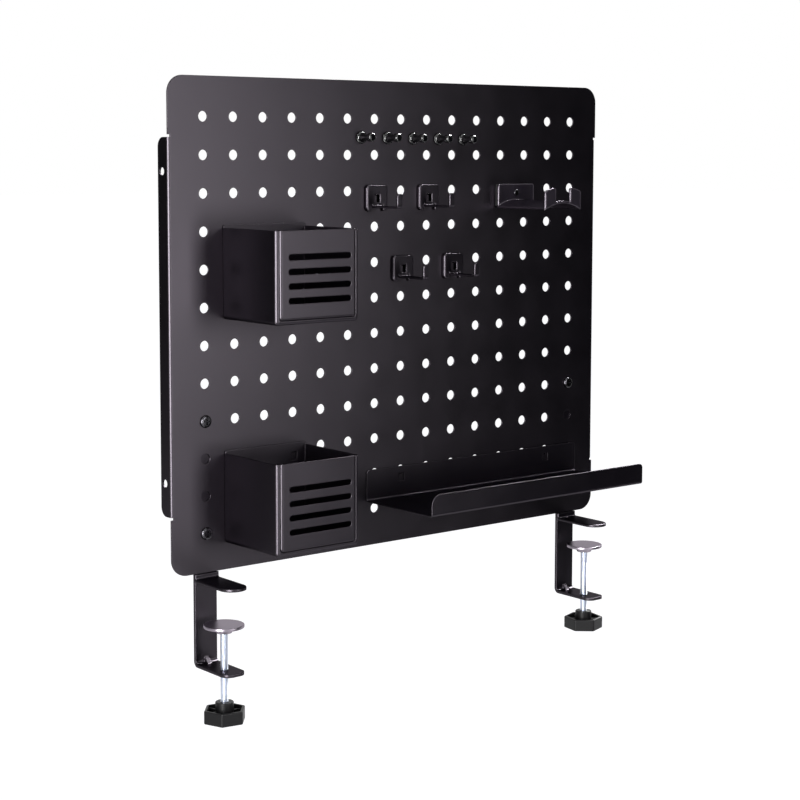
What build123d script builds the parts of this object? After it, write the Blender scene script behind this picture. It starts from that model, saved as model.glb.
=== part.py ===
from build123d import *

import os
from math import sqrt

# Desk pegboard: a perforated steel panel on two desk clamps, with bins, a tray, hooks, a headset
# hanger and magnet pins.
# Millimetres. X runs to the right, Y to the back and Z up. The origin is midway between the clamps,
# at the height of the desk's top and on the panel's front face.

# Panel, one sheet with a flange bent back along each side
panel_sheet = 1.5
panel_width = 586.0
panel_height = 498.0
panel_corner_radius = 17.5
panel_lift = 8.5
flange_depth = 18.3
flange_length = 377.0
flange_bend_radius = 3.0
flange_corner_radius = 9.5
flange_notch = 2.5
flange_hole_diameter = 8.2
flange_hole_inset = 33.5
flange_hole_setback = 11.0

# Holes of the panel, spread evenly between its margins
column_count = 15
row_count = 12
side_margin = 41.0
end_margin = 40.0
hole_diameter = 10.6
column_pitch = (panel_width - 2 * side_margin) / (column_count - 1)
row_pitch = (panel_height - 2 * end_margin) / (row_count - 1)

# Clamp brackets, flat bars behind the panel that bend forward into the lower jaws
bar_width = 26.0
bar_thickness = 3.0
bar_bend_radius = 6.0
bar_top_margin = 14.0
bar_top_radius = 6.0
jaw_opening = 84.4
lower_jaw_reach = 53.5
lower_jaw_corner_radius = 9.0
dart_leg = 6.5
dart_width = 5.0
dart_dent_width = 2.5

# Upper jaws, welded to the brackets
upper_jaw_width = 28.0
upper_jaw_sheet = 3.0
upper_jaw_reach = 60.5
upper_jaw_bend_radius = 4.5
upper_jaw_gap = 0.5
upper_jaw_edge_radius = 1.0

# Screws that hold the panel on the brackets
panel_screw_rows = (8, 11)
panel_screw_diameter = 6.0
panel_screw_end = 1.5
panel_screw_fit = 0.1
head_overlap = 1.2
head_height = 3.2
head_dome_radius = 2.4
recess_span = 6.6
recess_width = 1.4
recess_depth = 1.8

# Clamp screws, pressure pads and knobs
clamp_axis_reach = 31.0
left_pad_drop = 38.5
right_pad_drop = 25.0
pad_to_hub = 78.8
pad_diameter = 41.0
pad_thickness = 3.0
pad_edge_radius = 0.6
pad_skin = 1.0
boss_base_diameter = 22.0
boss_tip_diameter = 16.0
boss_height = 5.4
clamp_screw_diameter = 8.0
thread_clearance = 0.25
screw_tip_gap = 0.3
bolt_head_flats = 13.0
bolt_head_height = 5.3
bolt_head_recess = 0.5
insert_fit = 0.1
knob_corners = 45.0
knob_corner_radius = 2.0
knob_height = 13.5
knob_edge_radius = 1.2
knob_wall = 2.5
knob_floor = 5.0
knob_rib = 2.0
knob_rib_drop = 2.5
left_knob_turn = 50
right_knob_turn = 19
hub_diameter = 18.8
hub_height = 7.2

# Hang-on pieces: gap to the panel, and the tongue bent back from its window to drop behind the panel
seat_gap = 0.2
tongue_width = 7.2
tongue_drop = 4.4
tongue_clearance = 0.3
tongue_back_gap = 0.3
tongue_inner_radius = 0.4
tongue_window_height = 8.5

# Bins, each a body open at the front and a slotted front plate
bin_columns = (1, 3)
upper_bin_row = 3
lower_bin_row = 9
bin_width = 101.5
bin_shift = 1.0
bin_depth = 93.0
bin_height = 92.0
bin_rise = 3.4
bin_back_lip = 3.0
bin_back_lip_radius = 2.5
bin_wall = 1.6
bin_edge_radius = 3.4
bin_corner_step = 0.6
bin_return = 4.2
front_fit = 0.3
front_proud = 1.0
front_flange = 8.0
front_edge_radius = 2.5
front_corner_step = 1.0
slot_count = 4
slot_height = 6.0
slot_left_margin = 14.7
slot_right_margin = 10.6
slot_top_margin = 26.0
slot_bottom_margin = 23.4

# Tray, one folded sheet with open ends
tray_columns = (7, 13)
tray_row = 10
tray_overhang = 48.0
tray_rise = 4.3
tray_drop = 30.1
tray_depth = 111.0
tray_lip = 23.3
tray_sheet = 1.5
tray_bend_radius = 3.0
tray_lip_left_radius = 11.0
tray_corner_radius = 4.5

# J-hooks, each a plate with its rim turned back to the panel and a narrow arm folded out of its lower edge
j_hook_places = ((6, 2), (8, 2), (7, 4), (9, 4))
hook_plate_width = 28.5
hook_plate_rise = 6.3
hook_plate_drop = 21.5
hook_plate_depth = 4.6
hook_plate_radius = 4.0
hook_edge_radius = 1.4
hook_sheet = 2.0
hook_reach = 43.0
hook_lip = 15.5
hook_bend_radius = 4.0
hook_arm_drop = 18.0
hook_arm_root = 14.0
hook_arm_tip = 7.0
hook_arm_relief = 1.0
hook_tip_radius = 2.5

# Headset hanger, an arched saddle on a base plate with a magnet behind it
hanger_columns = (11, 12)
hanger_row = 2
hanger_rise = 5.6
hanger_shift = 1.8
hanger_width = 54.0
hanger_sheet = 2.5
hanger_reach = 81.0
hanger_magnet_thickness = 2.5
hanger_corner_radius = 3.0
crest_drop = 17.6
saddle_radius = 57.0
saddle_bend_radius = 4.0
saddle_inner_radius = 2.0
tab_height = 15.6
tab_gap = 21.5
tab_corner_radius = 3.0
rivet_drop = 10.0
rivet_diameter = 4.0
rivet_head_diameter = 7.0
rivet_head_height = 1.2
rivet_dome_radius = 1.0
rivet_fit = 0.1

# Magnet pins, turned handles with a disc magnet in the foot
pin_count = 5
pin_first_x = -54.7
pin_spacing = 35.5
pin_first_drop = 19.5
pin_step_drop = 0.35
pin_length = 21.0
pin_foot_diameter = 13.5
pin_foot_height = 3.0
pin_waist_diameter = 6.5
pin_waist_start = 9.0
pin_waist_end = 13.0
pin_head_diameter = 9.2
pin_head_start = 15.0
pin_head_radius = 2.0
pin_edge_radius = 0.8
disc_diameter = 9.0
disc_thickness = 2.5
disc_fit = 0.1

# Cuts run this far past the faces that they open
cut_overrun = 1.0

panel_middle = panel_lift + panel_height / 2
bar_back = panel_sheet + bar_thickness
lower_jaw_bottom = -jaw_opening - bar_thickness


def column_x(index):
    """Place of a hole column, counted from the left."""
    return (index - (column_count - 1) / 2) * column_pitch


def row_z(index):
    """Height of a hole row, counted from the top."""
    return panel_middle + ((row_count - 1) / 2 - index) * row_pitch


def front_plane(x, y, z):
    """Plane parallel to the panel that faces the front, with X to the right and Z up."""
    return Plane((x, y, z), x_dir=(1, 0, 0), z_dir=(0, -1, 0))


def write(piece, name):
    """Label a finished piece and write it to its file."""
    piece.part.label = name
    export_step(piece.part, f"parts/{name}.step")


def folded_sheet(x, outer_face, bend_radius, sheet):
    """Side view of a folded sheet at X = x, with its thickness to the right of its outer face."""
    with BuildSketch(Plane.YZ.offset(x)) as side_view:
        with BuildLine():
            FilletPolyline(*outer_face, radius=bend_radius)
            offset(amount=sheet, side=Side.RIGHT)
        make_face()
    return side_view.sketch


def add_tongue(x, z, sheet, sheet_gap=seat_gap):
    """Cut a window in the upright sheet being made and bend its tongue back into the hole at x, z."""
    half_chord = sqrt((hole_diameter / 2) ** 2 - (tongue_width / 2) ** 2)
    neck_bottom = z - half_chord + tongue_clearance
    neck_top = neck_bottom + sheet
    tongue_back = panel_sheet + tongue_back_gap + sheet
    tongue_outline = (
        (-sheet_gap - sheet / 2, neck_top),
        (tongue_back, neck_top),
        (tongue_back, neck_bottom - tongue_drop),
    )
    with BuildSketch(front_plane(x, -sheet_gap - sheet / 2, neck_bottom)) as window:
        Rectangle(tongue_width, tongue_window_height, align=(Align.CENTER, Align.MAX))
    extrude(window.sketch, amount=sheet / 2 + cut_overrun, both=True, mode=Mode.SUBTRACT)
    extrude(
        folded_sheet(x, tongue_outline, sheet + tongue_inner_radius, sheet),
        amount=tongue_width / 2,
        both=True,
    )


def make_panel():
    """Perforated panel with its two side flanges."""
    flange_hole_offset = flange_length / 2 - flange_hole_inset
    with BuildPart() as panel:
        with BuildSketch(front_plane(0, 0, panel_middle)):
            RectangleRounded(panel_width, panel_height, panel_corner_radius)
            for side in (-1, 1):
                with Locations((side * (panel_width - flange_bend_radius) / 2, 0)):
                    Rectangle(
                        flange_bend_radius, flange_length + 2 * flange_notch, mode=Mode.SUBTRACT
                    )
        extrude(amount=-panel_sheet)
        with BuildSketch(Plane.XY.offset(panel_middle - flange_length / 2)):
            with BuildLine():
                FilletPolyline(
                    (panel_width / 2, flange_depth),
                    (panel_width / 2, 0),
                    (-panel_width / 2, 0),
                    (-panel_width / 2, flange_depth),
                    radius=flange_bend_radius,
                )
                offset(amount=panel_sheet, side=Side.RIGHT)
            make_face()
        extrude(amount=flange_length)
        fillet(panel.edges().filter_by(Axis.X).group_by(Axis.Y)[-1], flange_corner_radius)
        with BuildSketch(Plane.YZ):
            with Locations((flange_hole_setback, panel_middle)):
                with Locations((0, flange_hole_offset), (0, -flange_hole_offset)):
                    Circle(flange_hole_diameter / 2)
        extrude(amount=panel_width / 2 + cut_overrun, both=True, mode=Mode.SUBTRACT)
        with BuildSketch(front_plane(0, 0, panel_middle)):
            with GridLocations(column_pitch, row_pitch, column_count, row_count):
                Circle(hole_diameter / 2)
        extrude(amount=panel_sheet + cut_overrun, both=True, mode=Mode.SUBTRACT)
    write(panel, "pegboard_panel")


def make_clamp_bracket(name, x):
    """Flat bar behind the panel, bent forward at the bottom into the lower jaw."""
    bar_top = row_z(panel_screw_rows[0]) + bar_top_margin
    bar_outline = ((bar_back, bar_top), (bar_back, lower_jaw_bottom), (-lower_jaw_reach, lower_jaw_bottom))
    dent_leg = dart_leg + 2 * bar_thickness - sqrt(2) * bar_thickness
    with BuildPart() as bracket:
        extrude(
            folded_sheet(x, bar_outline, bar_bend_radius, bar_thickness), amount=bar_width / 2, both=True
        )
        fillet(bracket.edges().filter_by(Axis.Y).group_by(Axis.Z)[-1], bar_top_radius)
        fillet(bracket.edges().filter_by(Axis.Z).group_by(Axis.Y)[0], lower_jaw_corner_radius)
        # Stiffening dart pressed into the bend, and its dent on the outside
        with BuildSketch(Plane.YZ.offset(x)):
            with BuildLine():
                Polyline(
                    (panel_sheet, -jaw_opening),
                    (panel_sheet, -jaw_opening + dart_leg),
                    (panel_sheet - dart_leg, -jaw_opening),
                    close=True,
                )
            make_face()
        extrude(amount=dart_width / 2, both=True)
        with BuildSketch(Plane.YZ.offset(x)):
            with BuildLine():
                Polyline(
                    (bar_back + cut_overrun, lower_jaw_bottom - cut_overrun),
                    (bar_back + cut_overrun, lower_jaw_bottom + dent_leg + cut_overrun),
                    (bar_back - dent_leg - cut_overrun, lower_jaw_bottom - cut_overrun),
                    close=True,
                )
            make_face()
        extrude(amount=dart_dent_width / 2, both=True, mode=Mode.SUBTRACT)
        # Tapped hole for the clamp screw, and two for the panel screws
        with BuildSketch(Plane.XY.offset(-jaw_opening)):
            with Locations((x, -clamp_axis_reach)):
                Circle(clamp_screw_diameter / 2 + thread_clearance)
        extrude(amount=bar_thickness + cut_overrun, both=True, mode=Mode.SUBTRACT)
        with BuildSketch(Plane.XZ):
            for row in panel_screw_rows:
                with Locations((x, row_z(row))):
                    Circle(panel_screw_diameter / 2 + panel_screw_fit)
        extrude(amount=-bar_back - cut_overrun, mode=Mode.SUBTRACT)
    write(bracket, name)


def make_upper_jaw(name, x):
    """Round-ended plate that lies on the desk, with a short leg up the bracket's front."""
    round_centre = upper_jaw_reach - upper_jaw_width / 2
    jaw_outline = ((panel_sheet, panel_lift - upper_jaw_gap), (panel_sheet, 0), (-round_centre, 0))
    with BuildPart() as jaw:
        extrude(
            folded_sheet(x, jaw_outline, upper_jaw_bend_radius, upper_jaw_sheet),
            amount=upper_jaw_width / 2,
            both=True,
        )
        with BuildSketch(Plane.XY):
            with Locations((x, -round_centre)):
                Circle(upper_jaw_width / 2)
        extrude(amount=upper_jaw_sheet)
        jaw_top = jaw.faces().filter_by(Axis.Z).group_by(Axis.Z)[1]
        fillet(jaw_top.edges().sort_by(Axis.Y)[:-1], upper_jaw_edge_radius)
    write(jaw, name)


def make_panel_screws():
    """Four pan-head screws with a cross recess, through the panel into the brackets."""
    places = [(column_x(column), row_z(row)) for column in (0, column_count - 1) for row in panel_screw_rows]
    with BuildPart() as screws:
        with BuildSketch(Plane.XZ):
            with Locations(*places):
                Circle(hole_diameter / 2 + head_overlap)
        extrude(amount=head_height)
        fillet(screws.edges().group_by(Axis.Y)[0], head_dome_radius)
        with BuildSketch(Plane.XZ):
            with Locations(*places):
                Circle(panel_screw_diameter / 2)
        extrude(amount=-bar_back - panel_screw_end)
        with BuildSketch(Plane.XZ.offset(head_height)):
            with Locations(*places):
                Rectangle(recess_span, recess_width)
                Rectangle(recess_width, recess_span)
        extrude(amount=-recess_depth, mode=Mode.SUBTRACT)
    write(screws, "panel_screws")


def make_clamp_set(side, x, pad_drop, knob_turn):
    """Pressure pad, clamp screw and knob of one clamp, on one upright axis."""
    pad_bottom = -pad_drop - pad_thickness
    boss_tip = pad_bottom - boss_height
    hub_top = -pad_drop - pad_to_hub
    knob_top = hub_top - hub_height
    knob_bottom = knob_top - knob_height
    pocket_depth = bolt_head_recess + bolt_head_height
    screw_tip = -pad_drop - pad_skin - screw_tip_gap
    socket_radius = clamp_screw_diameter / 2 + thread_clearance
    turning_axis = Axis((x, -clamp_axis_reach, 0), (0, 0, 1))

    with BuildPart() as pad:
        with BuildSketch(front_plane(x, -clamp_axis_reach, 0)):
            with BuildLine():
                Polyline(
                    (0, -pad_drop),
                    (pad_diameter / 2, -pad_drop),
                    (pad_diameter / 2, pad_bottom),
                    (boss_base_diameter / 2, pad_bottom),
                    (boss_tip_diameter / 2, boss_tip),
                    (socket_radius, boss_tip),
                    (socket_radius, -pad_drop - pad_skin),
                    (0, -pad_drop - pad_skin),
                    close=True,
                )
            make_face()
        revolve(axis=turning_axis)
        fillet(pad.edges().filter_by(GeomType.CIRCLE).group_by(SortBy.RADIUS)[-1], pad_edge_radius)
    write(pad, f"{side}_pressure_pad")

    with BuildPart() as screw:
        with BuildSketch(Plane((x, -clamp_axis_reach, knob_bottom + bolt_head_recess))):
            RegularPolygon(bolt_head_flats / 2, 6, major_radius=False)
        extrude(amount=bolt_head_height)
        with BuildSketch(Plane((x, -clamp_axis_reach, knob_bottom + pocket_depth))):
            Circle(clamp_screw_diameter / 2)
        extrude(amount=screw_tip - knob_bottom - pocket_depth)
    write(screw, f"{side}_clamp_screw")

    with BuildPart() as knob:
        with BuildSketch(Plane((x, -clamp_axis_reach, knob_bottom))) as hexagon:
            RegularPolygon(knob_corners / 2, 6, rotation=knob_turn)
            fillet(hexagon.vertices(), knob_corner_radius)
        extrude(amount=knob_height)
        rims = knob.edges().group_by(Axis.Z)
        fillet(rims[0] + rims[-1], knob_edge_radius)
        with BuildSketch(Plane((x, -clamp_axis_reach, knob_bottom + knob_floor))):
            offset(hexagon.sketch_local, amount=-knob_wall)
        extrude(amount=knob_height, mode=Mode.SUBTRACT)
        with BuildSketch(Plane((x, -clamp_axis_reach, knob_bottom))):
            with PolarLocations(0, 3, start_angle=knob_turn, angular_range=180):
                Rectangle(knob_corners - 2 * knob_wall, knob_rib)
        extrude(amount=knob_height - knob_rib_drop)
        with BuildSketch(Plane((x, -clamp_axis_reach, knob_bottom))):
            Circle(hub_diameter / 2)
        extrude(amount=knob_height + hub_height)
        fillet(knob.edges().group_by(Axis.Z)[-1], knob_edge_radius)
        with BuildSketch(Plane((x, -clamp_axis_reach, knob_bottom))):
            Circle(clamp_screw_diameter / 2 + insert_fit)
        extrude(amount=knob_height + hub_height + cut_overrun, mode=Mode.SUBTRACT)
        with BuildSketch(Plane((x, -clamp_axis_reach, knob_bottom))):
            RegularPolygon(bolt_head_flats / 2 + insert_fit, 6, major_radius=False)
        extrude(amount=pocket_depth, mode=Mode.SUBTRACT)
    write(knob, f"{side}_knob")


def make_bin(side, row):
    """Bin body with two tongues and a narrow return round its open front, and the slotted front plate."""
    middle_x = (column_x(bin_columns[0]) + column_x(bin_columns[1])) / 2 + bin_shift
    top = row_z(row) + bin_rise
    body_front = bin_depth - front_proud
    plate_inset = bin_return + front_fit
    plate_radius = front_edge_radius + front_corner_step

    with BuildPart() as body:
        with BuildSketch(front_plane(middle_x, -seat_gap, top)) as outline:
            Rectangle(bin_width, bin_height, align=(Align.CENTER, Align.MAX))
            fillet(outline.vertices().group_by(Axis.Y)[0], bin_edge_radius + bin_corner_step)
        extrude(amount=body_front - seat_gap)
        fillet(body.edges().group_by(Axis.Y)[0].sort_by(Axis.Z)[:-1], bin_edge_radius)
        offset(amount=-bin_wall, openings=body.faces().sort_by(Axis.Z)[-1])
        with BuildSketch(front_plane(middle_x, -body_front, top)) as opening:
            Rectangle(bin_width - 2 * bin_return, bin_height - bin_return, align=(Align.CENTER, Align.MAX))
            fillet(opening.vertices().group_by(Axis.Y)[0], plate_radius + front_fit)
        extrude(amount=bin_wall + cut_overrun, both=True, mode=Mode.SUBTRACT)
        # The back wall stands higher than the others and covers the holes behind it
        with BuildSketch(front_plane(middle_x, -seat_gap, top)) as lip:
            Rectangle(bin_width, bin_back_lip, align=(Align.CENTER, Align.MIN))
            fillet(lip.vertices().group_by(Axis.Y)[-1], bin_back_lip_radius)
        extrude(amount=bin_wall)
        for column in bin_columns:
            add_tongue(column_x(column), row_z(row), bin_wall)
    write(body, f"{side}_bin_body")

    slot_length = bin_width - slot_left_margin - slot_right_margin
    slot_pitch = (bin_height - slot_top_margin - slot_bottom_margin) / (slot_count - 1)
    with BuildPart() as front:
        with BuildSketch(front_plane(middle_x, front_flange - bin_depth, top)) as outline:
            Rectangle(bin_width - 2 * plate_inset, bin_height - plate_inset, align=(Align.CENTER, Align.MAX))
            fillet(outline.vertices().group_by(Axis.Y)[0], plate_radius)
        extrude(amount=front_flange)
        fillet(front.edges().group_by(Axis.Y)[0].sort_by(Axis.Z)[:-1], front_edge_radius)
        open_faces = [front.faces().sort_by(Axis.Z)[-1], front.faces().sort_by(Axis.Y)[-1]]
        offset(amount=-bin_wall, openings=open_faces)
        with BuildSketch(front_plane(middle_x, -bin_depth, top)):
            with Locations(((slot_left_margin - slot_right_margin) / 2, 0)):
                for index in range(slot_count):
                    with Locations((0, -slot_top_margin - index * slot_pitch)):
                        SlotOverall(slot_length, slot_height)
        extrude(amount=bin_wall + cut_overrun, both=True, mode=Mode.SUBTRACT)
    write(front, f"{side}_bin_front")


def make_tray():
    """Long tray: an upright back with two tongues, a floor and a low front lip."""
    hole_z = row_z(tray_row)
    left_end = column_x(tray_columns[0]) - tray_overhang
    right_end = column_x(tray_columns[1]) + tray_overhang
    floor = hole_z - tray_drop
    tray_outline = (
        (-seat_gap, hole_z + tray_rise),
        (-seat_gap, floor),
        (-tray_depth, floor),
        (-tray_depth, floor + tray_lip),
    )
    with BuildPart() as tray:
        extrude(
            folded_sheet(left_end, tray_outline, tray_bend_radius, tray_sheet), amount=right_end - left_end
        )
        corners = tray.edges().filter_by(Axis.Y).group_by(Axis.Y)
        lip_left, lip_right = corners[0].sort_by(Axis.X)
        fillet(lip_left, tray_lip_left_radius)
        fillet(corners[-1] + [lip_right], tray_corner_radius)
        for column in tray_columns:
            add_tongue(column_x(column), hole_z, tray_sheet)
    write(tray, "tray")


def make_j_hook(name, column, row):
    """Hook plate with one tongue, and the narrow arm and lip folded out of its lower edge."""
    x = column_x(column)
    hole_z = row_z(row)
    plate_bottom = hole_z - hook_plate_drop
    plate_height = hook_plate_drop + hook_plate_rise
    sheet_gap = seat_gap + hook_plate_depth - hook_sheet
    arm_bottom = hole_z - hook_arm_drop
    bend_top = arm_bottom + hook_bend_radius
    taper_start = -sheet_gap - hook_bend_radius
    arm_outline = (
        (-sheet_gap, bend_top + hook_sheet),
        (-sheet_gap, arm_bottom),
        (-hook_reach, arm_bottom),
        (-hook_reach, arm_bottom + hook_lip),
    )
    with BuildPart() as hook:
        with BuildSketch(front_plane(x, -seat_gap, plate_bottom)) as outline:
            Rectangle(hook_plate_width, plate_height, align=(Align.CENTER, Align.MIN))
            fillet(outline.vertices(), hook_plate_radius)
        extrude(amount=hook_plate_depth)
        fillet(hook.edges().group_by(Axis.Y)[0], hook_edge_radius)
        # Hollow behind the plate, and room for the arm's bend
        with BuildSketch(front_plane(x, -seat_gap, plate_bottom)):
            offset(outline.sketch_local, amount=-hook_sheet)
        extrude(amount=hook_plate_depth - hook_sheet, mode=Mode.SUBTRACT)
        with BuildSketch(front_plane(x, -seat_gap, plate_bottom)):
            Rectangle(
                hook_arm_root + 2 * hook_arm_relief, bend_top - plate_bottom, align=(Align.CENTER, Align.MIN)
            )
        extrude(amount=hook_plate_depth + cut_overrun, both=True, mode=Mode.SUBTRACT)
        extrude(
            folded_sheet(x, arm_outline, hook_bend_radius, hook_sheet), amount=hook_arm_root / 2, both=True
        )
        # The arm narrows between its two bends
        with BuildSketch(Plane.XY.offset(arm_bottom - cut_overrun)):
            for side in (-1, 1):
                with BuildLine():
                    Polyline(
                        (x + side * hook_arm_root / 2, taper_start),
                        (x + side * hook_arm_tip / 2, hook_bend_radius - hook_reach),
                        (x + side * hook_arm_tip / 2, -hook_reach - cut_overrun),
                        (x + side * hook_plate_width / 2, -hook_reach - cut_overrun),
                        (x + side * hook_plate_width / 2, taper_start),
                        close=True,
                    )
                make_face()
        extrude(amount=hook_lip + 2 * cut_overrun, mode=Mode.SUBTRACT)
        fillet(hook.edges().filter_by(Axis.Y).group_by(Axis.Y)[0], hook_tip_radius)
        add_tongue(x, hole_z, hook_sheet, sheet_gap)
    write(hook, name)


def make_hanger():
    """Headset hanger, its magnet backing and the rivet that joins them."""
    x = (column_x(hanger_columns[0]) + column_x(hanger_columns[1])) / 2 + hanger_shift
    top = row_z(hanger_row) + hanger_rise
    crest = top - crest_drop
    arch_centre = crest - saddle_radius
    base_front = -hanger_magnet_thickness - hanger_sheet
    rivet_z = top - rivet_drop

    def arch_band(y, under, over):
        """Front view of the band between two arcs about the arch's centre."""
        with BuildSketch(front_plane(x, y, arch_centre)) as band:
            Circle(over)
            Circle(under, mode=Mode.SUBTRACT)
            Rectangle(hanger_width, over, align=(Align.CENTER, Align.MIN), mode=Mode.INTERSECT)
        return band.sketch

    def base_outline(y, lower_edge):
        """Front view of the base: straight top and sides, and a lower edge that follows the arch."""
        with BuildSketch(front_plane(x, y, arch_centre)) as base:
            Rectangle(hanger_width, top - arch_centre, align=(Align.CENTER, Align.MIN))
            fillet(base.vertices().group_by(Axis.Y)[-1], hanger_corner_radius)
            Circle(lower_edge, mode=Mode.SUBTRACT)
            with Locations((0, rivet_z - arch_centre)):
                Circle(rivet_diameter / 2 + rivet_fit, mode=Mode.SUBTRACT)
        return base.sketch

    with BuildPart() as magnet:
        extrude(base_outline(0, saddle_radius), amount=hanger_magnet_thickness)
    write(magnet, "hanger_magnet")

    with BuildPart() as hanger:
        extrude(
            base_outline(-hanger_magnet_thickness, saddle_radius - hanger_sheet), amount=hanger_sheet
        )
        extrude(
            arch_band(-hanger_magnet_thickness, saddle_radius - hanger_sheet, saddle_radius),
            amount=hanger_reach - hanger_magnet_thickness,
        )
        extrude(
            arch_band(hanger_sheet - hanger_reach, saddle_radius - hanger_sheet, saddle_radius + tab_height),
            amount=hanger_sheet,
        )
        with BuildSketch(front_plane(x, hanger_sheet - hanger_reach, arch_centre)):
            Rectangle(tab_gap, saddle_radius + 2 * tab_height, align=(Align.CENTER, Align.MIN))
            Circle(saddle_radius, mode=Mode.SUBTRACT)
        extrude(amount=hanger_sheet + cut_overrun, mode=Mode.SUBTRACT)
        fillet(hanger.edges().filter_by(Axis.Y).group_by(Axis.Y)[0].group_by(Axis.Z)[1:], tab_corner_radius)
    write(hanger, "headset_hanger")

    with BuildPart() as rivet:
        with BuildSketch(front_plane(x, base_front, rivet_z)):
            Circle(rivet_head_diameter / 2)
        extrude(amount=rivet_head_height)
        fillet(rivet.edges().group_by(Axis.Y)[0], rivet_dome_radius)
        with BuildSketch(front_plane(x, base_front, rivet_z)):
            Circle(rivet_diameter / 2)
        extrude(amount=base_front)
    write(rivet, "hanger_rivet")


def make_magnet_pin(number):
    """Turned pin with a wide foot, a waist and a round head, and the disc magnet in its foot."""
    x = pin_first_x + (number - 1) * pin_spacing
    z = row_z(0) - pin_first_drop - (number - 1) * pin_step_drop
    turning_axis = Axis((x, 0, z), (0, 1, 0))
    pocket_radius = disc_diameter / 2 + disc_fit

    with BuildPart() as pin:
        with BuildSketch(Plane.XY.offset(z)):
            with BuildLine():
                Polyline(
                    (x, -disc_thickness - disc_fit),
                    (x + pocket_radius, -disc_thickness - disc_fit),
                    (x + pocket_radius, 0),
                    (x + pin_foot_diameter / 2, 0),
                    (x + pin_foot_diameter / 2, -pin_foot_height),
                    (x + pin_waist_diameter / 2, -pin_waist_start),
                    (x + pin_waist_diameter / 2, -pin_waist_end),
                    (x + pin_head_diameter / 2, -pin_head_start),
                    (x + pin_head_diameter / 2, -pin_length),
                    (x, -pin_length),
                    close=True,
                )
            make_face()
        revolve(axis=turning_axis)
        fillet(pin.edges().group_by(Axis.Y)[0], pin_head_radius)
    write(pin, f"magnet_pin_{number}")

    with BuildPart() as disc:
        with BuildSketch(front_plane(x, 0, z)):
            Circle(disc_diameter / 2)
        extrude(amount=disc_thickness)
    write(disc, f"pin_magnet_{number}")


os.makedirs("parts", exist_ok=True)
make_panel()
make_panel_screws()
for clamp_side, clamp_column, pad_drop, knob_turn in (
    ("left", 0, left_pad_drop, left_knob_turn),
    ("right", column_count - 1, right_pad_drop, right_knob_turn),
):
    make_clamp_bracket(f"{clamp_side}_clamp_bracket", column_x(clamp_column))
    make_upper_jaw(f"{clamp_side}_upper_jaw", column_x(clamp_column))
    make_clamp_set(clamp_side, column_x(clamp_column), pad_drop, knob_turn)
make_bin("upper", upper_bin_row)
make_bin("lower", lower_bin_row)
make_tray()
for number, (column, row) in enumerate(j_hook_places, start=1):
    make_j_hook(f"j_hook_{number}", column, row)
make_hanger()
for number in range(1, pin_count + 1):
    make_magnet_pin(number)
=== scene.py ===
# %% [markdown]
# # A desk pegboard
# The object is a perforated steel panel that two screw clamps hold at the edge of a desk. Bins, a tray and
# hooks hang in its holes, and a headset hanger and some pins hold on to it with magnets.
# Its solids were made to size in CAD and come in here as a fixed frame. This lesson gives every piece its
# finish, cuts the threads of the clamp screws, and lights and frames the whole as a product picture.
# Everything is in metres: X to the right, Y to the back and Z up.

# %% Load the frame
import math

import bmesh
import bpy
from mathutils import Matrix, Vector


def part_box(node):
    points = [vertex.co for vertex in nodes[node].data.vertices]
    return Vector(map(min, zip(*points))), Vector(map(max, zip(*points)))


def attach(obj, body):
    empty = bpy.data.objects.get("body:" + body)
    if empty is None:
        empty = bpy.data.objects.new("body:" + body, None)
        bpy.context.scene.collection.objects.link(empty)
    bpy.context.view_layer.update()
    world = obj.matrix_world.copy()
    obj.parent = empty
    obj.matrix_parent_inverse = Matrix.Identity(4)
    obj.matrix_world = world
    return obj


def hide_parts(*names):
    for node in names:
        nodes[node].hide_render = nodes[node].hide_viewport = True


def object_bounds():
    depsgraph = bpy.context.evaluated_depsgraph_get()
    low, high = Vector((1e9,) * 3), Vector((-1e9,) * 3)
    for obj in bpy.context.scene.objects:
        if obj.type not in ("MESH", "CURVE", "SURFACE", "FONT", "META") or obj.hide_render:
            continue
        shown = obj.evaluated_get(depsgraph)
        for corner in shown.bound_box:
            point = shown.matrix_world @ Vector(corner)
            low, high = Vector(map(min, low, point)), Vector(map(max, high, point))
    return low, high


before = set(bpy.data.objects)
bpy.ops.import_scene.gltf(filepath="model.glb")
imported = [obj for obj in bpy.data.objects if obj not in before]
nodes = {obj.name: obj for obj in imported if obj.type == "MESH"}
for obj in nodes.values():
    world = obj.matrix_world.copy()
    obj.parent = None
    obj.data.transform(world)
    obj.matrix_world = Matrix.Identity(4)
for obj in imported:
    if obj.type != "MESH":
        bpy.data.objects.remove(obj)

MM = 0.001
cad_low, cad_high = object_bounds()
print("solids:", len(nodes), "box:", [round(side / MM) for side in cad_high - cad_low], "mm")

# %% [markdown]
# ## Two small helpers
# Colours are easiest to pick as the hex values of a screen, but the renderer works in linear light, so one
# function turns the first into the second.
# Materials are graphs of nodes. One more function adds a node, sets its values and links its inputs, which
# keeps each material readable from its first node to its last. A socket can be given by name, or by number
# where a node has several of the same name.

# %% Colours and nodes
def linear(hex_colour):
    """Linear RGBA of an sRGB hex colour."""
    channels = [int(hex_colour[start:start + 2], 16) / 255 for start in (1, 3, 5)]
    return [c / 12.92 if c <= 0.04045 else ((c + 0.055) / 1.055) ** 2.4 for c in channels] + [1.0]


def add(tree, kind, settings={}, links={}):
    """Add one node of this kind, with its settings and the outputs that feed it."""
    node = tree.nodes.new("ShaderNode" + kind)
    for key, value in settings.items():
        if isinstance(key, int) or key in node.inputs:
            node.inputs[key].default_value = value
        else:
            setattr(node, key, value)
    for key, output in links.items():
        tree.links.new(output, node.inputs[key])
    return node


def new_material(name):
    """An empty material and its node tree."""
    material = bpy.data.materials.new(name)
    material.use_nodes = True
    material.node_tree.nodes.clear()
    return material, material.node_tree


print("white is", linear("#ffffff"), "and mid grey is", [round(c, 3) for c in linear("#808080")])

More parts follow.
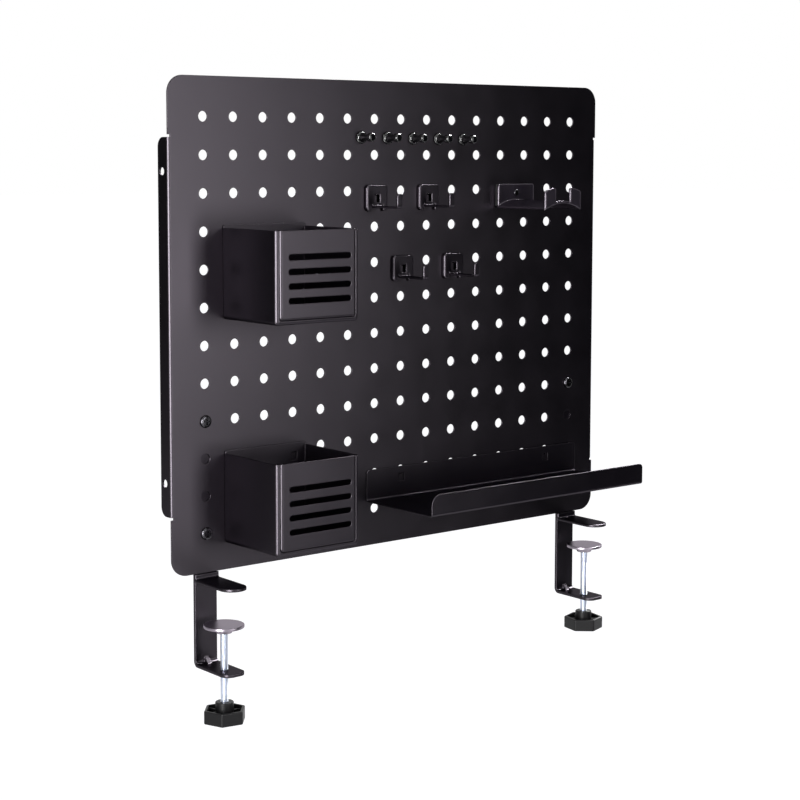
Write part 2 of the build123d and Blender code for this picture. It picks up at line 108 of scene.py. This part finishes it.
# %% [markdown]
# ## Powder coat
# The panel, the clamps and the hang-on pieces are steel with a black powder coat: dry paint powder that is
# sprayed on and melted in an oven. It flows into a thin, even skin with a faint grain, so the eye sees a deep
# black with a soft, slightly broken sheen and no brush marks.
# The grain could be displaced geometry, but it is only a few hundredths of a millimetre high, so a bump
# from a fine noise does it. The grain of the real coat is about 0.3 mm across, too fine to show from here, so
# each coat draws it three times as coarse. A second, wide noise moves the colour and the roughness a little,
# as thicker and thinner places in the coat do.
# Sheet metal is never sharp: the punch rolls its edges over and the coat rounds them further, and each edge
# then catches a thin line of light. The Bevel node bends the normals near an edge, as such a rounding does.
# The paint is a Principled shader without a reflection of its own. The sheen is added to it as a Glossy
# shader with the Beckmann curve, which dies away faster to the sides than the usual GGX curve, as the sheen
# of a matt coat does. Its colour is the small share of the light that the coat's skin reflects: 4 to 9 % for
# the plain coats, and 30 % for the pads, which are seen almost edge-on, where any coat reflects much more.

# %% Powder coats
SHEEN_TINT = linear("#f8ecfb")[:3]
GRAIN = 1.0 * MM
GRAIN_HEIGHT = 0.05 * MM
FLOW = 45 * MM
ROUGHNESS_SWING = 0.03


def powder_coat(name, thin, thick, roughness, sheen_level, edge_mm):
    """Powder coat between two colours, with this share of sheen, that rounds the edges by this radius."""
    material, tree = new_material(name)
    place = add(tree, "TexCoord").outputs["Object"]
    grain = add(tree, "TexNoise", {"Scale": 1 / GRAIN, "Detail": 2.0}, {"Vector": place})
    flow = add(tree, "TexNoise", {"Scale": 1 / FLOW, "Detail": 3.0}, {"Vector": place})
    colour = add(
        tree, "Mix", {"data_type": "RGBA", 6: linear(thin), 7: linear(thick)}, {0: flow.outputs["Fac"]}
    )
    dullness = add(
        tree,
        "MapRange",
        {"To Min": roughness - ROUGHNESS_SWING, "To Max": roughness + ROUGHNESS_SWING},
        {"Value": flow.outputs["Fac"]},
    )
    edge = add(tree, "Bevel", {"samples": 8, "Radius": edge_mm * MM})
    bump = add(
        tree, "Bump", {"Strength": 0.25, "Distance": GRAIN_HEIGHT},
        {"Height": grain.outputs["Fac"], "Normal": edge.outputs["Normal"]},
    )
    paint = add(
        tree, "BsdfPrincipled", {"Specular IOR Level": 0.0, "Roughness": 0.8},
        {"Base Color": colour.outputs[2], "Normal": bump.outputs["Normal"]},
    )
    sheen_colour = [sheen_level * channel for channel in SHEEN_TINT] + [1.0]
    sheen = add(
        tree, "BsdfAnisotropic", {"distribution": "BECKMANN", "Color": sheen_colour},
        {"Roughness": dullness.outputs["Result"], "Normal": bump.outputs["Normal"]},
    )
    coat = add(tree, "AddShader", links={0: paint.outputs["BSDF"], 1: sheen.outputs["BSDF"]})
    add(tree, "OutputMaterial", links={"Surface": coat.outputs["Shader"]})
    return material


panel_coat = powder_coat("panel, matt black powder coat on steel", "#070608", "#0b090d", 0.42, 0.052, 0.6)
clamp_coat = powder_coat("clamps, satin black powder coat on steel", "#0c0a0e", "#110f13", 0.38, 0.045, 1.5)
pad_coat = powder_coat("pressure pads, semi-gloss powder coat on steel", "#1a181c", "#211e23", 0.36, 0.3, 0.8)
hang_on_coat = powder_coat(
    "hang-on pieces, black powder coat on steel", "#0a080c", "#0f0d11", 0.41, 0.045, 1.2
)
hook_coat = powder_coat("hooks, black powder coat on steel", "#0a080c", "#0f0d11", 0.38, 0.06, 2.0)
hanger_coat = powder_coat("headset hanger, satin powder coat on steel", "#1d1a1f", "#242027", 0.38, 0.09, 3.0)
coats = (panel_coat, clamp_coat, pad_coat, hang_on_coat, hook_coat, hanger_coat)
print("coats:", [material.name for material in coats])

# %% [markdown]
# ## Metals
# The clamp screws are steel with bright zinc plating, which has a cold, bluish silver colour and a slightly
# cloudy shine from the bath. The disc magnets in the feet of the pins are nickel plated, which is warmer and
# smoother. The panel screws and the rivet are steel with a black chemical finish, a dark grey that shines a
# little where the heads are rounded.
# A metal takes its look from what it reflects, so all three are fully metallic with the colour on the base,
# and a noise clouds their roughness.

# %% Plated and blackened steel
CLOUD_SWING = 0.08


def plated_steel(name, dull, bright, roughness, cloud_mm):
    """Metal between two colours, with cloudy roughness."""
    material, tree = new_material(name)
    place = add(tree, "TexCoord").outputs["Object"]
    cloud = add(tree, "TexNoise", {"Scale": 1 / (cloud_mm * MM), "Detail": 4.0}, {"Vector": place})
    colour = add(
        tree, "Mix", {"data_type": "RGBA", 6: linear(dull), 7: linear(bright)}, {0: cloud.outputs["Fac"]}
    )
    shine = add(
        tree,
        "MapRange",
        {"To Min": roughness - CLOUD_SWING, "To Max": roughness + CLOUD_SWING},
        {"Value": cloud.outputs["Fac"]},
    )
    metal = add(
        tree,
        "BsdfPrincipled",
        {"Metallic": 1.0},
        {"Base Color": colour.outputs[2], "Roughness": shine.outputs["Result"]},
    )
    add(tree, "OutputMaterial", links={"Surface": metal.outputs["BSDF"]})
    return material


zinc = plated_steel("clamp screws, bright zinc-plated steel", "#d6dce8", "#e4e9f3", 0.3, 6)
nickel = plated_steel("disc magnets, nickel-plated", "#b9b4ab", "#cfcac1", 0.18, 4)
blackened = plated_steel("panel screws and rivet, blackened steel", "#3a393c", "#4c4b4f", 0.24, 3)
print("metals:", zinc.name, "/", nickel.name, "/", blackened.name)

# %% [markdown]
# ## Plastics and magnet sheet
# The knobs are moulded in black ABS with a fine spark-eroded texture, so they are even and satin. The magnet
# pins are polished ABS, almost a mirror, with only a faint ripple left from the mould. The hanger's backing
# is magnet powder bonded in rubber, which is dull and dark grey.
# All three are the same simple graph: a base colour that varies slightly, a roughness, and a bump at the
# scale of the surface's own texture.

# %% Moulded pieces
def moulded(name, dark, pale, roughness, sheen_level, texture_mm, texture_depth):
    """Moulded plastic or rubber between two colours, with a surface texture of this size."""
    material, tree = new_material(name)
    place = add(tree, "TexCoord").outputs["Object"]
    texture = add(tree, "TexNoise", {"Scale": 1 / (texture_mm * MM), "Detail": 2.0}, {"Vector": place})
    colour = add(
        tree, "Mix", {"data_type": "RGBA", 6: linear(dark), 7: linear(pale)}, {0: texture.outputs["Fac"]}
    )
    shine = add(
        tree,
        "MapRange",
        {"To Min": roughness - ROUGHNESS_SWING, "To Max": roughness + ROUGHNESS_SWING},
        {"Value": texture.outputs["Fac"]},
    )
    bump = add(
        tree,
        "Bump",
        {"Strength": texture_depth, "Distance": GRAIN_HEIGHT},
        {"Height": texture.outputs["Fac"]},
    )
    skin = add(
        tree,
        "BsdfPrincipled",
        {"IOR": 1.53, "Specular IOR Level": sheen_level},
        {
            "Base Color": colour.outputs[2],
            "Roughness": shine.outputs["Result"],
            "Normal": bump.outputs["Normal"],
        },
    )
    add(tree, "OutputMaterial", links={"Surface": skin.outputs["BSDF"]})
    return material


knob_plastic = moulded("knobs, spark-textured black ABS", "#0d0c0e", "#131214", 0.42, 0.18, 0.9, 0.3)
pin_plastic = moulded("magnet pins, polished black ABS", "#070708", "#0b0b0d", 0.13, 0.5, 12, 0.1)
magnet_sheet = moulded(
    "hanger backing, rubber-bonded magnet sheet", "#1d1c1e", "#262528", 0.8, 0.3, 0.8, 0.4
)
print("mouldings:", knob_plastic.name, "/", pin_plastic.name, "/", magnet_sheet.name)

# %% [markdown]
# ## Finish for every solid
# Each CAD solid gets one finish by what it is on the real object. Its name starts with the piece's place, so
# the table below goes by the words in the names.

# %% Hand out the finishes
finish_of = {
    "pegboard_panel": panel_coat,
    "panel_screws": blackened,
    "hanger_rivet": blackened,
    "clamp_bracket": clamp_coat,
    "upper_jaw": clamp_coat,
    "pressure_pad": pad_coat,
    "clamp_screw": zinc,
    "knob": knob_plastic,
    "hanger_magnet": magnet_sheet,
    "magnet_pin": pin_plastic,
    "pin_magnet": nickel,
    "bin_body": hang_on_coat,
    "bin_front": hang_on_coat,
    "tray": hang_on_coat,
    "j_hook": hook_coat,
    "headset_hanger": hanger_coat,
}
for name, solid in nodes.items():
    finish = next(material for words, material in finish_of.items() if words in name)
    solid.data.materials.clear()
    solid.data.materials.append(finish)
print("finished", len(nodes), "solids with", len(set(finish_of.values())), "materials")

# %% [markdown]
# ## Threads of the clamp screws
# The clamps close with M8 screws: a hexagon head sits in the knob, and the thread rises 1.25 mm each turn. In
# CAD they are plain rods, because a thread is slow to carry through the checks.
# A thread is one profile, root to crest and back, that is swept along a helix. Here each step round the screw
# is a short column of profile points, one pitch high. After a full turn the columns meet the next turn's, so
# the surface closes without a seam.

# %% Model the screws
THREAD_PITCH = 1.25 * MM
THREAD_DEPTH = 0.65 * MM
SCREW_RADIUS = 4.0 * MM
SCREW_HEAD_HEIGHT = 5.3 * MM
SCREW_HEAD_CHAMFER = 0.5 * MM
TIP_TURNS = 1.5
STEPS_PER_TURN = 28
PROFILE = ((0.0, 1.0), (0.125, 1.0), (0.4, 0.0), (0.6, 0.0), (0.875, 1.0))


def threaded_screw(name, rod):
    """Hexagon-head screw with a rolled thread, in place of a plain rod with the same outside."""
    low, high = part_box(rod)
    axis = (low + high) / 2
    head_flats = (high.y - low.y) / 2
    head_corners = head_flats / math.cos(math.pi / 6)
    root_radius = SCREW_RADIUS - THREAD_DEPTH
    bottom, top = low.z + SCREW_HEAD_HEIGHT, high.z
    mesh = bmesh.new()
    columns = math.ceil((top - bottom) / THREAD_PITCH) * STEPS_PER_TURN

    def ring_point(column, share, depth):
        """A point of the thread, held between the screw's two ends and thinned near its tip."""
        z = bottom + (column / STEPS_PER_TURN - 1 + share) * THREAD_PITCH
        tip = max(0.0, 1 - (top - z) / (TIP_TURNS * THREAD_PITCH))
        r = SCREW_RADIUS - THREAD_DEPTH * max(depth, min(tip, 1.0))
        turn = 2 * math.pi * column / STEPS_PER_TURN
        return (axis.x + r * math.cos(turn), axis.y + r * math.sin(turn), min(max(z, bottom), top))

    rings = [
        [mesh.verts.new(ring_point(column, share, depth)) for share, depth in PROFILE]
        for column in range(columns + STEPS_PER_TURN + 1)
    ]
    for column in range(columns):
        here = rings[column] + [rings[column + STEPS_PER_TURN][0]]
        ahead = rings[column + 1] + [rings[column + STEPS_PER_TURN + 1][0]]
        for step in range(len(PROFILE)):
            mesh.faces.new((here[step], ahead[step], ahead[step + 1], here[step + 1]))
    for vert in [v for v in mesh.verts if not v.link_faces]:
        mesh.verts.remove(vert)
    bmesh.ops.remove_doubles(mesh, verts=mesh.verts, dist=1e-6)
    bmesh.ops.dissolve_degenerate(mesh, edges=mesh.edges, dist=1e-7)
    thread_faces = len(mesh.faces)

    core = bmesh.ops.create_cone(
        mesh, cap_ends=True, segments=STEPS_PER_TURN, radius1=root_radius, radius2=root_radius,
        depth=top - bottom,
    )
    bmesh.ops.translate(mesh, verts=core["verts"], vec=(axis.x, axis.y, (top + bottom) / 2))
    head = bmesh.ops.create_cone(
        mesh, cap_ends=True, segments=6, radius1=head_corners, radius2=head_corners,
        depth=SCREW_HEAD_HEIGHT,
    )
    head_edges = list({edge for vert in head["verts"] for edge in vert.link_edges})
    bmesh.ops.translate(mesh, verts=head["verts"], vec=(axis.x, axis.y, low.z + SCREW_HEAD_HEIGHT / 2))
    bmesh.ops.bevel(
        mesh, geom=head_edges, offset=SCREW_HEAD_CHAMFER, segments=2, affect="EDGES", profile=0.5
    )
    bmesh.ops.recalc_face_normals(mesh, faces=mesh.faces)

    data = bpy.data.meshes.new(name)
    mesh.to_mesh(data)
    mesh.free()
    data.materials.append(zinc)
    data.shade_smooth()
    data.set_sharp_from_angle(angle=math.radians(35))
    screw = bpy.data.objects.new(name, data)
    bpy.context.scene.collection.objects.link(screw)
    print(name, "has", thread_faces, "thread faces over", round((top - bottom) / MM), "mm")
    return screw


for side in ("left", "right"):
    screw = threaded_screw(f"{side}_threaded_screw", f"{side}_clamp_screw")
    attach(screw, f"{side}_screw")
    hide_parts(f"{side}_clamp_screw")

# %% [markdown]
# ## Turned pins
# A magnet pin is a small turned handle: a wide foot that holds a disc magnet, a hollow flank that runs up to
# a waist, and a round head to grip. The CAD solid has straight flanks, which would mirror the lamps in flat
# bands.
# A lathe form needs only half of its outline. The outline goes round the pin's axis in small steps, and
# smooth shading hides the steps. The hollow flank is a quarter of an ellipse from the foot to the waist.
# The radii and the distances from the panel are in millimetres.

# %% Turn the pins
LATHE_STEPS = 48
FOOT, WAIST, HEAD = 6.75, 3.25, 4.6
FOOT_ROUND, HEAD_ROUND = 0.6, 2.0
POCKET, POCKET_DEPTH = 4.6, 2.6
FLANK_START, FLANK_END, WAIST_END, HEAD_START, LENGTH = 2.2, 12.0, 13.0, 15.0, 21.0


def pin_outline():
    """Half outline of a pin in millimetres, as pairs of radius and distance from the panel."""
    quarter = [math.pi / 2 * step / 10 for step in range(11)]
    outline = [(0.0, POCKET_DEPTH), (POCKET, POCKET_DEPTH), (POCKET, 0.0), (FOOT - FOOT_ROUND, 0.0)]
    outline += [
        (FOOT - FOOT_ROUND + FOOT_ROUND * math.sin(a), FOOT_ROUND - FOOT_ROUND * math.cos(a)) for a in quarter
    ]
    outline += [
        (FOOT - (FOOT - WAIST) * math.sin(a), FLANK_START + (FLANK_END - FLANK_START) * (1 - math.cos(a)))
        for a in quarter
    ]
    outline += [
        (HEAD - (HEAD - WAIST) * math.cos(a), WAIST_END + (HEAD_START - WAIST_END) * math.sin(a))
        for a in quarter
    ]
    outline += [
        (HEAD - HEAD_ROUND + HEAD_ROUND * math.cos(a), LENGTH - HEAD_ROUND + HEAD_ROUND * math.sin(a))
        for a in quarter
    ]
    return outline + [(0.0, LENGTH)]


def turned_pin(name, solid):
    """Smooth lathe form in place of one CAD pin, on the same axis."""
    low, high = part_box(solid)
    x, z = (low.x + high.x) / 2, (low.z + high.z) / 2
    mesh = bmesh.new()
    outline = [mesh.verts.new((x + r * MM, -along * MM, z)) for r, along in pin_outline()]
    edges = [mesh.edges.new(pair) for pair in zip(outline, outline[1:])]
    bmesh.ops.spin(
        mesh, geom=outline + edges, cent=(x, 0, z), axis=(0, 1, 0), angle=2 * math.pi, steps=LATHE_STEPS
    )
    bmesh.ops.remove_doubles(mesh, verts=mesh.verts, dist=1e-6)
    bmesh.ops.recalc_face_normals(mesh, faces=mesh.faces)
    data = bpy.data.meshes.new(name)
    mesh.to_mesh(data)
    mesh.free()
    data.materials.append(pin_plastic)
    data.shade_smooth()
    data.set_sharp_from_angle(angle=math.radians(50))
    pin = bpy.data.objects.new(name, data)
    bpy.context.scene.collection.objects.link(pin)
    return pin


for number in range(1, 6):
    pin = turned_pin(f"turned_pin_{number}", f"magnet_pin_{number}")
    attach(pin, f"pin_{number}")
    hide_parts(f"magnet_pin_{number}")
print("turned", number, "pins with", len(pin.data.polygons), "faces each")

# %% [markdown]
# ## Floor and surroundings
# A product picture on white needs a background that is white to the eye but doesn't flood the object with
# light. The Light Path node tells the kinds of ray apart: what the camera sees, and what shows in reflections
# and through gaps, is plain white, while the light that falls on the object stays at a moderate level.
# The clamps hold the board at the edge of a desk, so the pale floor lies some way below them and only takes a
# soft shadow. Part of its white glows by itself and part is lit, and the shadow shows in the lit part.

# %% White surroundings
GLOW_SHARE = 0.84
FLOOR_DROP = 0.28
FLOOR_REACH = 30.0


def seen_directly(tree):
    """1 for the rays of the camera, of reflections and of see-through surfaces, and 0 for the rest."""
    path = add(tree, "LightPath")
    first = add(
        tree, "Math", {"operation": "MAXIMUM"},
        {0: path.outputs["Is Camera Ray"], 1: path.outputs["Is Glossy Ray"]},
    )
    both = add(
        tree, "Math", {"operation": "MAXIMUM"}, {0: first.outputs[0], 1: path.outputs["Is Transmission Ray"]}
    )
    return both.outputs[0]


world = bpy.data.worlds.new("white studio")
bpy.context.scene.world = world
world.use_nodes = True
tree = world.node_tree
tree.nodes.clear()
room_light = add(tree, "Background", {"Color": linear("#f4f6ff"), "Strength": 0.5})
white = add(tree, "Background", {"Color": linear("#ffffff"), "Strength": 1.0})
either = add(
    tree, "MixShader",
    links={0: seen_directly(tree), 1: room_light.outputs["Background"], 2: white.outputs["Background"]},
)
add(tree, "OutputWorld", links={"Surface": either.outputs["Shader"]})

floor_material, tree = new_material("floor, white paper")
place = add(tree, "TexCoord").outputs["Object"]
speckle = add(tree, "TexNoise", {"Scale": 1 / (8 * MM), "Detail": 2.0}, {"Vector": place})
paper = add(
    tree,
    "Mix",
    {"data_type": "RGBA", 6: linear("#989898"), 7: linear("#9c9c9c")},
    {0: speckle.outputs["Fac"]},
)
lit = add(tree, "BsdfDiffuse", links={"Color": paper.outputs[2]})
glow = add(tree, "Emission", {"Color": linear("#ffffff")}, {"Strength": seen_directly(tree)})
dimmed = add(tree, "MixShader", {0: GLOW_SHARE}, {1: lit.outputs["BSDF"], 2: glow.outputs["Emission"]})
sheet = add(tree, "AddShader", links={0: lit.outputs["BSDF"], 1: dimmed.outputs["Shader"]})
add(tree, "OutputMaterial", links={"Surface": sheet.outputs["Shader"]})

floor_mesh = bpy.data.meshes.new("floor")
floor_z = cad_low.z - FLOOR_DROP
corners = [(FLOOR_REACH * x, FLOOR_REACH * y, floor_z) for x, y in ((-1, -1), (1, -1), (1, 1), (-1, 1))]
floor_mesh.from_pydata(corners, [], [(0, 1, 2, 3)])
floor_mesh.materials.append(floor_material)
floor = bpy.data.objects.new("floor", floor_mesh)
bpy.context.scene.collection.objects.link(floor)
print("floor", round(-floor_z / MM), "mm below the desk's top")

# %% [markdown]
# ## Studio lamps
# A black panel has no colour of its own to show, so its look is its sheen. A tall softbox stands in front and
# a little to the right, where the matt coat on the left part of the panel scatters it to the camera: the
# sheen is strongest there and dies away to black towards the right.
# Two narrow lamps, on the left and above on the right, draw the bright lines along the rounded edges and
# corners. They have to be strong for that, so they only show in reflections and add nothing to the light on
# the surfaces. Two plain lamps, on the left and overhead, fill that in.
# An area lamp's power is spread over its face, so a helper works it out from how bright the face should look.

# %% Softboxes
def softbox(name, place, target, width, height, brightness):
    """Rectangular lamp at a place, turned to a target, with a face of this brightness."""
    data = bpy.data.lights.new(name, "AREA")
    data.shape = "RECTANGLE"
    data.size, data.size_y = width, height
    data.energy = brightness * math.pi * width * height
    lamp = bpy.data.objects.new(name, data)
    lamp.location = place
    lamp.rotation_euler = (Vector(target) - Vector(place)).to_track_quat("-Z", "Y").to_euler()
    bpy.context.scene.collection.objects.link(lamp)
    return lamp


softbox("tall softbox in front", (0.3, -1.7, 0.35), (-0.25, 0, 0.33), 0.4, 1.0, 12.0)
softbox("broad lamp overhead", (-0.2, -0.9, 2.4), (0, 0, 0.2), 1.6, 1.0, 1.6)
softbox("fill lamp on the left", (-1.9, -1.0, 0.5), (-0.1, 0, 0.3), 0.5, 1.2, 3.0)
edge_lamp = softbox("edge lamp on the left", (-1.85, -1.05, 0.35), (-0.1, 0, 0.3), 0.3, 1.6, 75.0)
top_edge_lamp = softbox("edge lamp overhead", (1.35, 0.25, 1.7), (0, 0, 0.3), 0.5, 1.2, 160.0)
for lamp in (edge_lamp, top_edge_lamp):
    lamp.visible_diffuse = lamp.visible_camera = False

# %% [markdown]
# ## Dark flags
# White surroundings would also lie as a grey veil on every black face. Photographers of black things stand
# dark cards, called flags, just outside the picture, and the faces then mirror the cards. One flag stands in
# front on the right, beyond the softbox, and one lies on the floor there, for the faces that look to the
# front. A third stands behind the panel on the left, for the sides.
# Only reflections see the flags here: they cast no shadow, and the camera and the other rays pass through.

# %% Stand the flags
def flag(name, place, target, width, height):
    """Black card at a place, turned to a target, that only shows in reflections."""
    data = bpy.data.meshes.new(name)
    half_w, half_h = width / 2, height / 2
    corners = [(-half_w, -half_h, 0), (half_w, -half_h, 0), (half_w, half_h, 0), (-half_w, half_h, 0)]
    data.from_pydata(corners, [], [(0, 1, 2, 3)])
    data.materials.append(black_card)
    card = bpy.data.objects.new(name, data)
    card.location = place
    card.rotation_euler = (Vector(target) - Vector(place)).to_track_quat("-Z", "Y").to_euler()
    card.visible_camera = card.visible_diffuse = card.visible_shadow = card.visible_transmission = False
    bpy.context.scene.collection.objects.link(card)


black_card, tree = new_material("flags, black felt")
place = add(tree, "TexCoord").outputs["Object"]
fibre = add(tree, "TexNoise", {"Scale": 1 / (3 * MM)}, {"Vector": place})
felt = add(
    tree, "Mix", {"data_type": "RGBA", 6: linear("#060606"), 7: linear("#0c0c0c")}, {0: fibre.outputs["Fac"]}
)
card_face = add(tree, "BsdfDiffuse", links={"Color": felt.outputs[2]})
add(tree, "OutputMaterial", links={"Surface": card_face.outputs["BSDF"]})
flag("flag in front on the right", (1.75, -2.1, 0.2), (0, 0, 0.25), 4.0, 4.0)
flag("flag on the floor", (1.6, -2.0, floor_z + 0.02), (1.6, -2.0, 1.0), 2.6, 2.8)
flag("flag behind on the left", (-1.7, 1.6, 0.2), (-0.3, 0, 0.25), 2.0, 2.6)

# %% [markdown]
# ## Camera
# The camera stands to the left of the panel, about two metres away and a little above its middle, and looks
# level enough that upright edges stay almost parallel. A long lens keeps the perspective mild, and a small
# shift moves the frame down so that the clamps fit in without tilting the camera further.

# %% Frame the picture
camera_data = bpy.data.cameras.new("camera")
camera_data.sensor_width = 36.0
camera_data.lens = 82.58
camera_data.shift_x = -0.0007
camera_data.shift_y = -0.0915
camera_data.clip_end = 100.0
camera = bpy.data.objects.new("camera", camera_data)
camera.location = (-1.2480, -1.5378, 0.4326)
camera.rotation_euler = Vector((0.6272, 0.7730, -0.0953)).to_track_quat("-Z", "Y").to_euler()
camera.rotation_euler.rotate_axis("Z", 0.0019)
bpy.context.scene.collection.objects.link(camera)
bpy.context.scene.camera = camera
bpy.context.scene.view_settings.view_transform = "Standard"
print("camera", round(camera.location.length, 2), "m from the origin")
